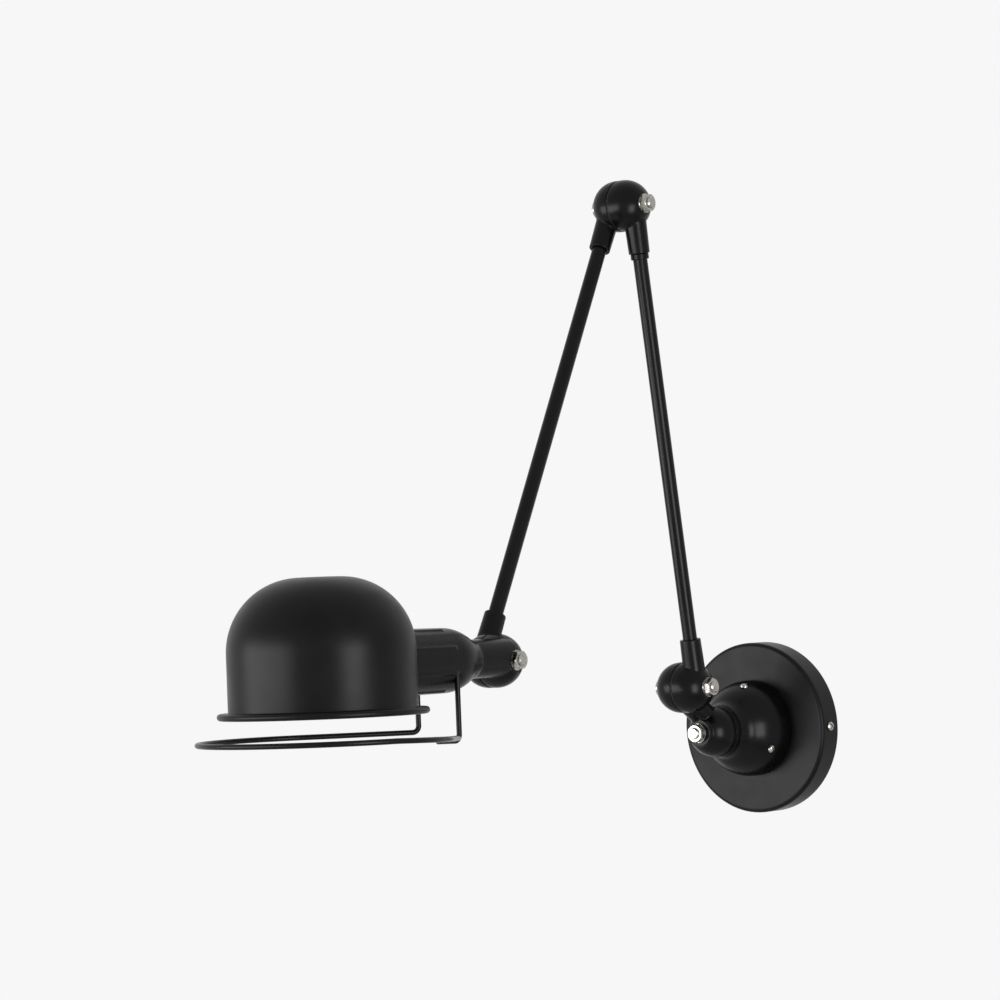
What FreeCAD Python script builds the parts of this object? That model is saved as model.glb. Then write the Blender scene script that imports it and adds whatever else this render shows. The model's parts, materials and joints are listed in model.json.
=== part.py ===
import FreeCAD, Part
import math
import os

# Accordion wall lamp in black painted metal: a round wall canopy, a domed swivel, two
# tubular arms that fold side by side, and a dome shade entered from the side.
# The wall is the plane y = 0 and the origin is the centre of the canopy's back.
# The lamp reaches out along -Y, +Z is up, and the arm joints turn about X.

cut_past = 1.0              # holes run this far past the faces they open

# ---- pose in the photograph: joint places and lean angles
lower_lean = 7.9            # lower arm, degrees from straight up, away from the wall
upper_lean = 152.5          # upper arm, from straight up, turned the same way
head_pitch = -0.6           # head, down from level
lower_centres = 333.0       # shoulder axis to elbow axis
upper_centres = 341.0       # elbow axis to tilt axis
shoulder_reach = 33.6       # shoulder axis in front of the swivel seam
shoulder_rise = 32.2        # shoulder axis above the swivel axis

# ---- split ball joints
ball_r = 17.5
ball_band = 3.0             # straight band of each half ball, beside the seam
seam_gap = 0.8              # filled by a fibre friction ring
seam_ring_in = 14.6
seam_ring_inset = 0.7       # ring edge below the balls' surface
cavity_r = 14.0             # contact chamber in each half
cavity_floor = 9.0          # chamber floor from the seam's middle
hub_r = 6.0
bolt_r = 4.0                # M8 joint bolt
bolt_play = 0.05            # running clearance on the radius
bolt_head_r = 6.8
bolt_head_h = 4.6
bolt_end = 1.6              # thread left standing past the nut
washer_r = 6.6
washer_t = 1.2
nut_across = 11.2
nut_h = 4.2
seat_margin = 0.4           # flat seat around a washer or a bolt head
swivel_boss_r = 9.6
swivel_boss_proud = 0.2     # boss face past the half ball's pole

# ---- sliding contacts inside the joints
disc_t = 3.0
ring_disc_inset = 1.4       # face of the ring carrier, from the seam's middle
brush_disc_inset = 2.0
contact_radii = (8.7, 11.9)
contact_ring_w = 1.4
contact_ring_t = 0.8
contact_ring_sunk = 0.6
brush_r = 0.9

# ---- arms
stub_x = 9.3                # arm axis beside the seam
stub_root_r = 7.9
stub_tip_r = 7.2
stub_reach = 33.5           # joint axis to the stub's mouth
socket_depth = 14.0
tube_r = 4.9
tube_wall = 1.2
tube_play = 0.05
wire_bore_r = 2.6
lock_ring_r = 6.2
lock_ring_h = 4.0

# ---- canopy and wall bracket
canopy_r = 59.8
canopy_depth = 18.4
canopy_wall = 1.2
canopy_edge = 2.4
canopy_hole_r = 15.0
bar_w = 26.0
bar_t = 2.0
ear_w = 12.0
ear_play = 0.4              # ear's corner to the canopy's rim
ear_depth = 13.0
end_play = 0.8              # bar's corner to the canopy's rim
rim_screw_depth = 9.2
rim_screw_r = 2.0
rim_screw_head_r = 3.4
rim_screw_head_h = 2.2
wall_slot_x = 35.0
wall_slot_w = 5.0
wall_slot_l = 10.0
cable_hole_r = 6.0
terminal_x = 16.0
terminal_l = 16.0
terminal_w = 14.0
terminal_h = 9.0
terminal_screw_r = 1.8
terminal_screw_h = 1.0
terminal_screw_pitch = 8.0
earth_x = -18.0
earth_screw_r = 3.4
earth_screw_h = 2.6

# ---- base dome and the collar that holds it
seam_depth = 60.8           # swivel seam in front of the wall
dome_r = 33.5
dome_wall = 2.5
dome_band = 3.6             # straight part of the dome against the canopy
dome_throat = 13.0          # radius of the hollow sweep into the swivel
dome_floor = 46.0           # front wall's inner face, in front of the wall
collar_r = 26.2
collar_h = 18.5
collar_wall = 3.0
collar_flange_t = 3.0
collar_screw_circle = 20.0
collar_screw_r = 1.5
collar_screw_head_r = 2.8
collar_screw_head_h = 1.8
set_screw_r = 2.0
set_screw_head_r = 3.3
set_screw_head_h = 1.6
set_screw_depth = 34.5      # in front of the wall
set_screw_turn = -27.0      # first screw, from +X towards +Z
set_screw_step = 105.0
set_screw_count = 3

# ---- wall knuckle
neck_r = 8.8
neck_root_x = -0.7
neck_root_depth = 6.7       # neck axis in front of the swivel seam
neck_root_rise = 7.4
joint_relief = 0.5          # neck cut back around the turning half ball and the swivel nut

# ---- head: neck housing, shade, lamp holder, bulb, handle
head_x = 9.5
head_rise = 1.9             # lamp holder's axis above the tilt axis
throat_r = 12.5
throat_end = 35.0           # from the tilt axis
throat_bore_r = 8.0
housing_r = 20.6
housing_start = 62.0
housing_flare = 0.7         # growth of the radius up to the shade
housing_wall = 2.4
rib_r = 1.1
rib_count = 8
rib_start = 69.0
shade_reach = 172.0         # tilt axis to shade axis
shade_r = 59.0
shade_wall = 1.2
shade_top = 57.0
shade_shoulder = 46.0
shade_foot = -28.4          # underside of the rolled rim
rim_r = 64.4
rim_h = 4.2
holder_r = 16.3
holder_play = 0.2
holder_back = 66.0
holder_short = 41.0         # holder's mouth short of the shade axis
holder_wall = 2.4
holder_floor = 6.0          # insulating floor behind the bulb's cap
holder_end = 1.0            # thin back of the holder
clamp_r = 20.0
clamp_short = 49.0          # clamp ring's front short of the shade axis
cap_r = 13.1                # screw cap of the bulb
cap_l = 25.0
cap_button_r = 5.0
cap_button_h = 2.0
shell_wall = 0.5
globe_r = 22.5
globe_wall = 1.0
globe_neck_r = 12.0
globe_neck_l = 4.0
handle_wire_r = 1.7
handle_ring_r = 76.6
handle_drop = 43.8          # ring plane under the tilt axis
handle_half_w = 16.8
handle_reach = 66.2         # legs from the tilt axis
handle_corner = 5.0
handle_top = -7.0

ORIGIN = FreeCAD.Vector(0, 0, 0)
AXIS_X = FreeCAD.Vector(1, 0, 0)
AXIS_Y = FreeCAD.Vector(0, 1, 0)
AXIS_Z = FreeCAD.Vector(0, 0, 1)


def vec(x, y, z):
    return FreeCAD.Vector(x, y, z)


def cylinder(radius, start, end):
    """Round bar of a radius from one point to another."""
    run = end.sub(start)
    return Part.makeCylinder(radius, run.Length, start, run)


def turned_x(points):
    """Solid turned about X from straight-sided (x, radius) points."""
    corners = [vec(x, 0, r) for x, r in points]
    return Part.Face(Part.makePolygon(corners + corners[:1])).revolve(ORIGIN, AXIS_X, 360)


def turned(edges, axis):
    """Solid turned about an axis through the origin from a closed run of edges."""
    return Part.Face(Part.Wire(edges)).revolve(ORIGIN, axis, 360)


def line(a, b):
    return Part.LineSegment(a, b).toShape()


def arc(a, middle, b):
    return Part.Arc(a, middle, b).toShape()


def moved(shape, turn, place):
    """Copy of a shape leaned about X by an angle in degrees, then carried to a place."""
    copy = shape.copy()
    copy.rotate(ORIGIN, AXIS_X, turn)
    copy.translate(place)
    return copy


def mirrored(shape):
    """The -X half of a joint, or the shape with its X side exchanged."""
    return shape.mirror(ORIGIN, AXIS_X)


def flipped(shape):
    """Shape with its up and down exchanged."""
    return shape.mirror(ORIGIN, AXIS_Z)


# ---- joint places -----------------------------------------------------------------

def from_vertical(angle, length):
    """Step of a length along a direction leaned away from the wall."""
    lean = math.radians(angle)
    return vec(0, -length * math.sin(lean), length * math.cos(lean))


shoulder = vec(0, -seam_depth - shoulder_reach, shoulder_rise)
elbow = shoulder.add(from_vertical(lower_lean, lower_centres))
tilt = elbow.add(from_vertical(upper_lean, upper_centres))


def at_wall(shape):
    """Joint piece whose +X side is turned to face out of the wall at the swivel seam."""
    copy = shape.copy()
    copy.rotate(ORIGIN, AXIS_Z, -90)
    copy.translate(vec(0, -seam_depth, 0))
    return copy


def at_shoulder(shape):
    return moved(shape, lower_lean, shoulder)


def at_elbow_lower(shape):
    return moved(shape, lower_lean, elbow)


def at_elbow_upper(shape):
    return moved(shape, upper_lean, elbow)


def at_tilt_upper(shape):
    return moved(shape, upper_lean, tilt)


def at_tilt_head(shape):
    return moved(shape, head_pitch, tilt)


# ---- ball joint pieces, drawn about X with the seam at x = 0 ------------------------

seat_r = bolt_head_r + seat_margin
pole_x = ball_band + math.sqrt(ball_r ** 2 - seat_r ** 2)
swivel_face = ball_band + ball_r + swivel_boss_proud


def half_ball():
    """Outer form of the +X half: band, dome and the flat seat at its pole."""
    start = seam_gap / 2
    slope = math.acos(seat_r / ball_r) / 2
    crown = vec(ball_band + ball_r * math.sin(slope), 0, ball_r * math.cos(slope))
    return turned([
        line(vec(start, 0, 0), vec(start, 0, ball_r)),
        line(vec(start, 0, ball_r), vec(ball_band, 0, ball_r)),
        arc(vec(ball_band, 0, ball_r), crown, vec(pole_x, 0, seat_r)),
        line(vec(pole_x, 0, seat_r), vec(pole_x, 0, 0)),
        line(vec(pole_x, 0, 0), vec(start, 0, 0)),
    ], AXIS_X)


def joint_hollow(far):
    """Contact chamber around the hub and the bolt's bore out to x = far."""
    chamber = turned_x([(0, hub_r), (cavity_floor, hub_r), (cavity_floor, cavity_r), (0, cavity_r)])
    bore = cylinder(bolt_r + bolt_play, vec(-cut_past, 0, 0), vec(far + cut_past, 0, 0))
    return chamber.fuse(bore)


def arm_joint():
    """Half ball with a tapered stub standing along +Z, socketed for the tube."""
    stub = Part.makeCone(stub_root_r, stub_tip_r, stub_reach, vec(stub_x, 0, 0), AXIS_Z)
    mouth = stub_reach - socket_depth
    body = half_ball().fuse(stub)
    body = body.cut(joint_hollow(pole_x))
    body = body.cut(cylinder(tube_r + tube_play, vec(stub_x, 0, mouth), vec(stub_x, 0, stub_reach + cut_past)))
    return body.cut(cylinder(wire_bore_r, vec(stub_x, 0, hub_r + wire_bore_r), vec(stub_x, 0, mouth)))


def seam_ring():
    half = seam_gap / 2
    outer = ball_r - seam_ring_inset
    return turned_x([(-half, seam_ring_in), (half, seam_ring_in), (half, outer), (-half, outer)])


def hexagon_bar(across, height, start):
    """Six-sided bar along +X from x = start, its corners turned off at both ends."""
    corner = across / math.sqrt(3)
    points = []
    for step in range(7):
        angle = math.radians(60 * step)
        points.append(vec(start, corner * math.sin(angle), corner * math.cos(angle)))
    bar = Part.Face(Part.makePolygon(points)).extrude(vec(height, 0, 0))
    chamfer = corner - across / 2
    end = start + height
    rounding = turned_x([(start, 0), (start, across / 2), (start + chamfer, corner),
                         (end - chamfer, corner), (end, across / 2), (end, 0)])
    return bar.common(rounding)


def joint_bolt(head_face, nut_face):
    """Bolt with a low round head seated at x = head_face and its nut at nut_face."""
    shank_end = nut_face + washer_t + nut_h + bolt_end
    dish = bolt_head_h / 2
    return turned_x([
        (head_face - bolt_head_h, 0), (head_face - bolt_head_h, bolt_head_r - dish),
        (head_face - dish, bolt_head_r), (head_face, bolt_head_r), (head_face, bolt_r),
        (shank_end - bolt_end / 2, bolt_r), (shank_end, bolt_r - bolt_end / 2), (shank_end, 0),
    ])


def joint_washer(face):
    outer = cylinder(washer_r, vec(face, 0, 0), vec(face + washer_t, 0, 0))
    return outer.cut(cylinder(bolt_r, vec(face, 0, 0), vec(face + washer_t, 0, 0)))


def joint_nut(face):
    start = face + washer_t
    nut = hexagon_bar(nut_across, nut_h, start)
    return nut.cut(cylinder(bolt_r, vec(start, 0, 0), vec(start + nut_h, 0, 0)))


def ring_disc():
    """Insulating carrier of the contact rings, in the -X half."""
    face = -ring_disc_inset
    disc = turned_x([(face - disc_t, hub_r), (face, hub_r), (face, cavity_r), (face - disc_t, cavity_r)])
    for ring in contact_rings().Solids:
        disc = disc.cut(ring)
    return disc


def contact_rings():
    start = -ring_disc_inset - contact_ring_sunk
    end = start + contact_ring_t
    half = contact_ring_w / 2
    rings = []
    for radius in contact_radii:
        rings.append(turned_x([(start, radius - half), (end, radius - half),
                               (end, radius + half), (start, radius + half)]))
    return Part.makeCompound(rings)


def brushes():
    """Spring pins that slide on the contact rings, one to each side of the axis."""
    tip = contact_ring_t - ring_disc_inset - contact_ring_sunk
    back = brush_disc_inset + disc_t
    pins = []
    for side, radius in zip((1, -1), contact_radii):
        pins.append(cylinder(brush_r, vec(tip, side * radius, 0), vec(back, side * radius, 0)))
    return Part.makeCompound(pins)


def brush_disc():
    start = brush_disc_inset
    disc = turned_x([(start, hub_r), (start + disc_t, hub_r), (start + disc_t, cavity_r), (start, cavity_r)])
    for pin in brushes().Solids:
        disc = disc.cut(pin)
    return disc


# ---- wall side ---------------------------------------------------------------------

def wall_bracket():
    """Flat bar against the wall with an ear bent forward at each end for the rim screws."""
    rim_inner = canopy_r - canopy_wall
    ear_face = math.sqrt(rim_inner ** 2 - (ear_w / 2) ** 2) - ear_play
    bar_end = math.sqrt(rim_inner ** 2 - (bar_w / 2) ** 2) - end_play
    body = Part.makeBox(2 * bar_end, bar_t, bar_w, vec(-bar_end, -bar_t, -bar_w / 2))
    body = body.fuse(Part.makeBox(2 * ear_face, bar_t, ear_w, vec(-ear_face, -bar_t, -ear_w / 2)))
    for side in (-1, 1):
        inner = min(side * ear_face, side * (ear_face - bar_t))
        body = body.fuse(Part.makeBox(bar_t, ear_depth, ear_w, vec(inner, -ear_depth, -ear_w / 2)))
        body = body.cut(cylinder(rim_screw_r, vec(side * (ear_face - 2 * bar_t), -rim_screw_depth, 0),
                                 vec(side * canopy_r, -rim_screw_depth, 0)))
        body = body.cut(wall_slot(side * wall_slot_x))
    body = body.cut(through_bar(cable_hole_r, 0))
    return body.cut(through_bar(earth_screw_r / 2, earth_x))


def through_bar(radius, x):
    """Hole through the flat bar, square to the wall."""
    return cylinder(radius, vec(x, -bar_t - cut_past, 0), vec(x, cut_past, 0))


def wall_slot(centre):
    """Level slot for a wall screw."""
    straight = wall_slot_l - wall_slot_w
    corner = vec(centre - straight / 2, -bar_t - cut_past, -wall_slot_w / 2)
    slot = Part.makeBox(straight, bar_t + 2 * cut_past, wall_slot_w, corner)
    for end in (centre - straight / 2, centre + straight / 2):
        slot = slot.fuse(through_bar(wall_slot_w / 2, end))
    return slot


def canopy():
    """Shallow round pan, open to the wall, its front edge softly rounded."""
    inner = canopy_r - canopy_wall
    pan = cylinder(canopy_r, ORIGIN, vec(0, -canopy_depth, 0))
    front = [edge for edge in pan.Edges if edge.BoundBox.YMax < -canopy_depth / 2]
    pan = pan.makeFillet(canopy_edge, front)
    pan = pan.cut(cylinder(inner, vec(0, cut_past, 0), vec(0, canopy_wall - canopy_depth, 0)))
    pan = pan.cut(cylinder(canopy_hole_r, ORIGIN, vec(0, -canopy_depth - cut_past, 0)))
    for side in (-1, 1):
        pan = pan.cut(rim_screw_bar(side, inner - canopy_wall))
    for point in collar_screw_places():
        pan = pan.cut(cylinder(collar_screw_r, point, point.sub(vec(0, 2 * canopy_depth, 0))))
    return pan


def rim_screw_bar(side, start):
    """Rim screw's shank from a distance off the middle to past the canopy's rim."""
    return cylinder(rim_screw_r, vec(side * start, -rim_screw_depth, 0),
                    vec(side * (canopy_r + cut_past), -rim_screw_depth, 0))


def canopy_rim_screws():
    """Two round-headed screws that hold the canopy's rim to the bracket's ears."""
    screws = []
    ear_back = math.sqrt((canopy_r - canopy_wall) ** 2 - (ear_w / 2) ** 2) - ear_play - bar_t
    pan = cylinder(canopy_r, vec(0, cut_past, 0), vec(0, -canopy_depth, 0))
    for side in (-1, 1):
        head = cylinder(rim_screw_head_r, vec(side * ear_back, -rim_screw_depth, 0),
                        vec(side * (canopy_r + rim_screw_head_h), -rim_screw_depth, 0)).cut(pan)
        screws.append(head.fuse(rim_screw_bar(side, ear_back)))
    return Part.makeCompound(screws)


def terminal_block():
    block = Part.makeBox(terminal_l, terminal_h, terminal_w,
                         vec(terminal_x - terminal_l / 2, -bar_t - terminal_h, -terminal_w / 2))
    for offset in (-terminal_screw_pitch / 2, terminal_screw_pitch / 2):
        wire = vec(terminal_x + offset, -bar_t - terminal_h / 3, -terminal_w)
        block = block.cut(cylinder(terminal_screw_r / 2, wire, wire.add(vec(0, 0, 2 * terminal_w))))
    return block


def terminal_screws():
    front = -bar_t - terminal_h
    screws = []
    for offset in (-terminal_screw_pitch / 2, terminal_screw_pitch / 2):
        screws.append(cylinder(terminal_screw_r, vec(terminal_x + offset, front, 0),
                               vec(terminal_x + offset, front - terminal_screw_h, 0)))
    return Part.makeCompound(screws)


def earth_screw():
    shank = cylinder(earth_screw_r / 2, vec(earth_x, 0, 0), vec(earth_x, -bar_t - earth_screw_h, 0))
    head = cylinder(earth_screw_r, vec(earth_x, -bar_t, 0), vec(earth_x, -bar_t - earth_screw_h, 0))
    return shank.fuse(head)


def collar_screw_places():
    """Back of the canopy's front wall, at each screw of the collar."""
    places = []
    for step in range(3):
        angle = math.radians(90 + 120 * step)
        places.append(vec(collar_screw_circle * math.cos(angle), canopy_wall - canopy_depth,
                          collar_screw_circle * math.sin(angle)))
    return places


def canopy_collar():
    """Ring screwed to the canopy's front, over which the dome is pushed."""
    front = -canopy_depth - collar_h
    ring = cylinder(collar_r, vec(0, -canopy_depth, 0), vec(0, front, 0))
    ring = ring.cut(cylinder(collar_r - collar_wall, vec(0, -canopy_depth - collar_flange_t, 0),
                             vec(0, front - cut_past, 0)))
    ring = ring.cut(cylinder(canopy_hole_r, ORIGIN, vec(0, front - cut_past, 0)))
    for point in collar_screw_places():
        ring = ring.cut(cylinder(collar_screw_r, point, point.sub(vec(0, canopy_depth, 0))))
    for angle in set_screw_angles():
        ring = ring.cut(set_screw_hole(angle))
    return ring


def collar_screws():
    screws = []
    for point in collar_screw_places():
        tip = point.sub(vec(0, canopy_wall + collar_flange_t, 0))
        head = cylinder(collar_screw_head_r, point, point.add(vec(0, collar_screw_head_h, 0)))
        screws.append(cylinder(collar_screw_r, point, tip).fuse(head))
    return Part.makeCompound(screws)


def set_screw_angles():
    return [set_screw_turn + set_screw_step * step for step in range(set_screw_count)]


def radial(angle, radius):
    """Point beside the swivel axis, at the dome screws' depth."""
    turn = math.radians(angle)
    return vec(radius * math.cos(turn), -set_screw_depth, radius * math.sin(turn))


def set_screw_hole(angle):
    return cylinder(set_screw_r, radial(angle, collar_r - collar_wall - cut_past), radial(angle, dome_r))


dome_centre = canopy_depth + dome_band


def base_dome():
    """Half-round dome that sweeps hollow into the fixed half of the swivel joint."""
    throat_centre = dome_centre + math.sqrt((dome_r + dome_throat) ** 2 - (ball_r + dome_throat) ** 2)
    meet = dome_r / (dome_r + dome_throat)
    meet_r = meet * (ball_r + dome_throat)
    meet_depth = dome_centre + meet * (throat_centre - dome_centre)
    lean = math.atan2(meet_depth - dome_centre, meet_r)
    crown = vec(dome_r * math.cos(lean / 2), -dome_centre - dome_r * math.sin(lean / 2), 0)
    hollow = vec(ball_r + dome_throat * (1 - math.cos(lean / 2)),
                 -throat_centre + dome_throat * math.sin(lean / 2), 0)
    front = -seam_depth + seam_gap / 2
    outer = turned([
        line(vec(0, -canopy_depth, 0), vec(dome_r, -canopy_depth, 0)),
        line(vec(dome_r, -canopy_depth, 0), vec(dome_r, -dome_centre, 0)),
        arc(vec(dome_r, -dome_centre, 0), crown, vec(meet_r, -meet_depth, 0)),
        arc(vec(meet_r, -meet_depth, 0), hollow, vec(ball_r, -throat_centre, 0)),
        line(vec(ball_r, -throat_centre, 0), vec(ball_r, front, 0)),
        line(vec(ball_r, front, 0), vec(0, front, 0)),
        line(vec(0, front, 0), vec(0, -canopy_depth, 0)),
    ], AXIS_Y)
    dome = outer.cut(dome_inside())
    dome = dome.cut(at_wall(mirrored(joint_hollow(seam_depth))))
    duct = vec(0, 0, (hub_r + cavity_r) / 2)
    dome = dome.cut(cylinder(wire_bore_r, duct.sub(vec(0, dome_floor - cut_past, 0)),
                             duct.sub(vec(0, seam_depth, 0))))
    for angle in set_screw_angles():
        dome = dome.cut(set_screw_hole(angle))
    return dome


def dome_inside():
    inner = dome_r - dome_wall
    floor_r = math.sqrt(inner ** 2 - (dome_floor - dome_centre) ** 2)
    lean = math.atan2(dome_floor - dome_centre, floor_r) / 2
    crown = vec(inner * math.cos(lean), -dome_centre - inner * math.sin(lean), 0)
    return turned([
        line(vec(0, cut_past - canopy_depth, 0), vec(inner, cut_past - canopy_depth, 0)),
        line(vec(inner, cut_past - canopy_depth, 0), vec(inner, -dome_centre, 0)),
        arc(vec(inner, -dome_centre, 0), crown, vec(floor_r, -dome_floor, 0)),
        line(vec(floor_r, -dome_floor, 0), vec(0, -dome_floor, 0)),
        line(vec(0, -dome_floor, 0), vec(0, cut_past - canopy_depth, 0)),
    ], AXIS_Y)


def dome_set_screws():
    """Radial screws through the dome into the collar, with low round heads."""
    surface = math.sqrt(dome_r ** 2 - (set_screw_depth - dome_centre) ** 2)
    ball = Part.makeSphere(dome_r, vec(0, -dome_centre, 0))
    screws = []
    for angle in set_screw_angles():
        head = cylinder(set_screw_head_r, radial(angle, surface - set_screw_head_r),
                        radial(angle, surface + set_screw_head_h)).cut(ball)
        shank = cylinder(set_screw_r, radial(angle, collar_r - collar_wall),
                         radial(angle, surface + set_screw_head_h))
        screws.append(head.fuse(shank))
    return Part.makeCompound(screws)


# ---- wall knuckle --------------------------------------------------------------------

def wall_knuckle():
    """Turning half of the swivel, a slanting neck, and the fixed half of the shoulder."""
    boss = cylinder(swivel_boss_r, vec(cavity_floor, 0, 0), vec(swivel_face, 0, 0))
    swivel = at_wall(half_ball().fuse(boss))
    socket = at_shoulder(mirrored(half_ball()))
    root = vec(neck_root_x, -seam_depth - neck_root_depth, neck_root_rise)
    end = vec(-stub_x, shoulder.y, shoulder.z)
    body = swivel.fuse(cylinder(neck_r, root, end)).fuse(socket)
    clear = cylinder(ball_r + joint_relief, vec(-seam_gap / 2, 0, 0), vec(stub_x + ball_r, 0, 0))
    body = body.cut(at_shoulder(clear))
    nut_corner = nut_across / math.sqrt(3)
    nut_space = cylinder(nut_corner + joint_relief, vec(swivel_face, 0, 0), vec(2 * swivel_face, 0, 0))
    body = body.cut(at_wall(nut_space))
    body = body.cut(at_wall(joint_hollow(swivel_face)))
    body = body.cut(at_shoulder(mirrored(joint_hollow(pole_x))))
    along = end.sub(root)
    along.normalize()
    duct_root = root.add(along * (hub_r + wire_bore_r))
    duct_end = end.sub(along * (hub_r + wire_bore_r))
    return body.cut(cylinder(wire_bore_r, duct_root, duct_end))


# ---- arms ----------------------------------------------------------------------------

def arm_tube(centres):
    start = vec(stub_x, 0, stub_reach - socket_depth)
    end = vec(stub_x, 0, centres - stub_reach + socket_depth)
    return cylinder(tube_r, start, end).cut(cylinder(tube_r - tube_wall, start, end))


def lock_ring(centres):
    """Ring on the lower arm's tube, against the upper stub's mouth."""
    top = vec(stub_x, 0, centres - stub_reach)
    low = top.sub(vec(0, 0, lock_ring_h))
    return cylinder(lock_ring_r, low, top).cut(cylinder(tube_r, low, top))


# ---- head, drawn from the tilt axis outward along -Y ------------------------------------

def on_axis(reach):
    """Point on the lamp holder's axis."""
    return vec(head_x, -reach, head_rise)


def bore(radius, start, end):
    """Round bar along the lamp holder's axis."""
    return cylinder(radius, on_axis(start), on_axis(end))


def housing():
    """Throat that widens through a soft shoulder into the lamp holder's ribbed barrel."""
    tip_r = housing_r + housing_flare
    wide = shade_reach - shade_r / 2
    mid = (throat_end + housing_start) / 2
    rise = housing_r - throat_r
    shoulder_curve = Part.BezierCurve()
    shoulder_curve.setPoles([
        vec(throat_r, -throat_end, 0), vec(throat_r + rise / 6, -(throat_end + mid) / 2, 0),
        vec(housing_r, -mid, 0), vec(housing_r, -housing_start, 0),
    ])
    outer = turned([
        line(ORIGIN, vec(throat_r, 0, 0)),
        line(vec(throat_r, 0, 0), vec(throat_r, -throat_end, 0)),
        shoulder_curve.toShape(),
        line(vec(housing_r, -housing_start, 0), vec(tip_r, -wide, 0)),
        line(vec(tip_r, -wide, 0), vec(0, -wide, 0)),
        line(vec(0, -wide, 0), ORIGIN),
    ], AXIS_Y)
    for step in range(rib_count):
        angle = math.radians(360 * (step + 0.5) / rib_count)
        rib = vec(housing_r * math.cos(angle), -rib_start, housing_r * math.sin(angle))
        outer = outer.fuse(cylinder(rib_r, rib, vec(rib.x, -wide, rib.z)))
        outer = outer.fuse(Part.makeSphere(rib_r, rib))
    outer.translate(on_axis(0))
    return outer


def shade_form(inset):
    """Solid dome inside the shade's surface moved in by an inset, open side down."""
    radius = shade_r - inset
    top = shade_top - inset
    bend = shade_shoulder - inset
    flat = radius - bend
    half = bend * math.sin(math.radians(45))
    start = vec(radius, 0, top - bend)
    crown = vec(flat + half, 0, top - bend + half)
    form = turned([
        line(vec(0, 0, shade_foot), vec(radius, 0, shade_foot)),
        line(vec(radius, 0, shade_foot), start),
        arc(start, crown, vec(flat, 0, top)),
        line(vec(flat, 0, top), vec(0, 0, top)),
        line(vec(0, 0, top), vec(0, 0, shade_foot)),
    ], AXIS_Z)
    form.translate(vec(head_x, -shade_reach, 0))
    return form


def head_housing():
    body = half_ball().fuse(housing())
    relief = cylinder(ball_r + joint_relief, vec(-2 * throat_r, 0, 0), vec(seam_gap / 2, 0, 0))
    seat = cylinder(seat_r, vec(pole_x, 0, 0), vec(pole_x + 2 * throat_r, 0, 0))
    duct = cylinder(wire_bore_r, vec(head_x, -hub_r - wire_bore_r, 0), vec(head_x, -ball_r, 0))
    cuts = [relief, shade_form(0), joint_hollow(ball_band + ball_r), seat, duct,
            bore(housing_r - housing_wall, holder_back, shade_reach),
            bore(throat_bore_r, ball_r, holder_back + cut_past)]
    for side in (-1, 1):
        leg = vec(head_x + side * handle_half_w, -handle_reach, handle_top)
        cuts.append(cylinder(handle_wire_r, leg, leg.sub(vec(0, 0, handle_drop))))
    for cut in cuts:
        body = body.cut(cut)
    return body


def shade():
    """Spun dome shade with a flat crown, closed on top, with a rolled rim."""
    half_h = rim_h / 2
    rim_face = rim_r - half_h
    inner = shade_r - shade_wall
    rim = turned([
        line(vec(inner, 0, shade_foot), vec(rim_face, 0, shade_foot)),
        arc(vec(rim_face, 0, shade_foot), vec(rim_r, 0, shade_foot + half_h),
            vec(rim_face, 0, shade_foot + rim_h)),
        line(vec(rim_face, 0, shade_foot + rim_h), vec(inner, 0, shade_foot + rim_h)),
        line(vec(inner, 0, shade_foot + rim_h), vec(inner, 0, shade_foot)),
    ], AXIS_Z)
    rim.translate(vec(head_x, -shade_reach, 0))
    body = shade_form(0).fuse(rim).cut(shade_form(shade_wall))
    return body.cut(bore(holder_r + holder_play, holder_back, shade_reach))


holder_front = shade_reach - holder_short
cap_back = holder_front - cap_l
globe_reach = holder_front + globe_neck_l + math.sqrt(globe_r ** 2 - globe_neck_r ** 2)


def shade_clamp_ring():
    """Ring inside the shade that pulls its wall against the housing."""
    ring = bore(clamp_r, holder_back, shade_reach - clamp_short)
    ring = ring.cut(bore(holder_r, holder_back, shade_reach))
    return ring.common(shade_form(shade_wall))


def lamp_holder():
    """Cup-shaped holder on a sleeve that stands on the housing's shoulder."""
    inside_r = holder_r - holder_wall
    body = bore(holder_r, holder_back, holder_front)
    body = body.cut(bore(inside_r, cap_back - cap_button_h, holder_front + cut_past))
    body = body.cut(bore(inside_r, holder_back + holder_end, cap_back - holder_floor))
    return body.cut(bore(wire_bore_r, holder_back, cap_back))


def holder_shell():
    """Screw shell that takes the bulb's cap."""
    outer_r = holder_r - holder_wall
    shell = bore(outer_r, cap_back, holder_front - shell_wall)
    return shell.cut(bore(outer_r - shell_wall, cap_back, holder_front - shell_wall))


def bulb_cap():
    return bore(cap_button_r, cap_back - cap_button_h, cap_back).fuse(bore(cap_r, cap_back, holder_front))


def bulb_glass():
    """Round globe on a short neck, sealed to the cap."""
    def blown(inset):
        globe = Part.makeSphere(globe_r - inset, on_axis(globe_reach))
        return globe.fuse(bore(globe_neck_r - inset, holder_front + inset, globe_reach))
    return blown(0).cut(blown(globe_wall))


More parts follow.
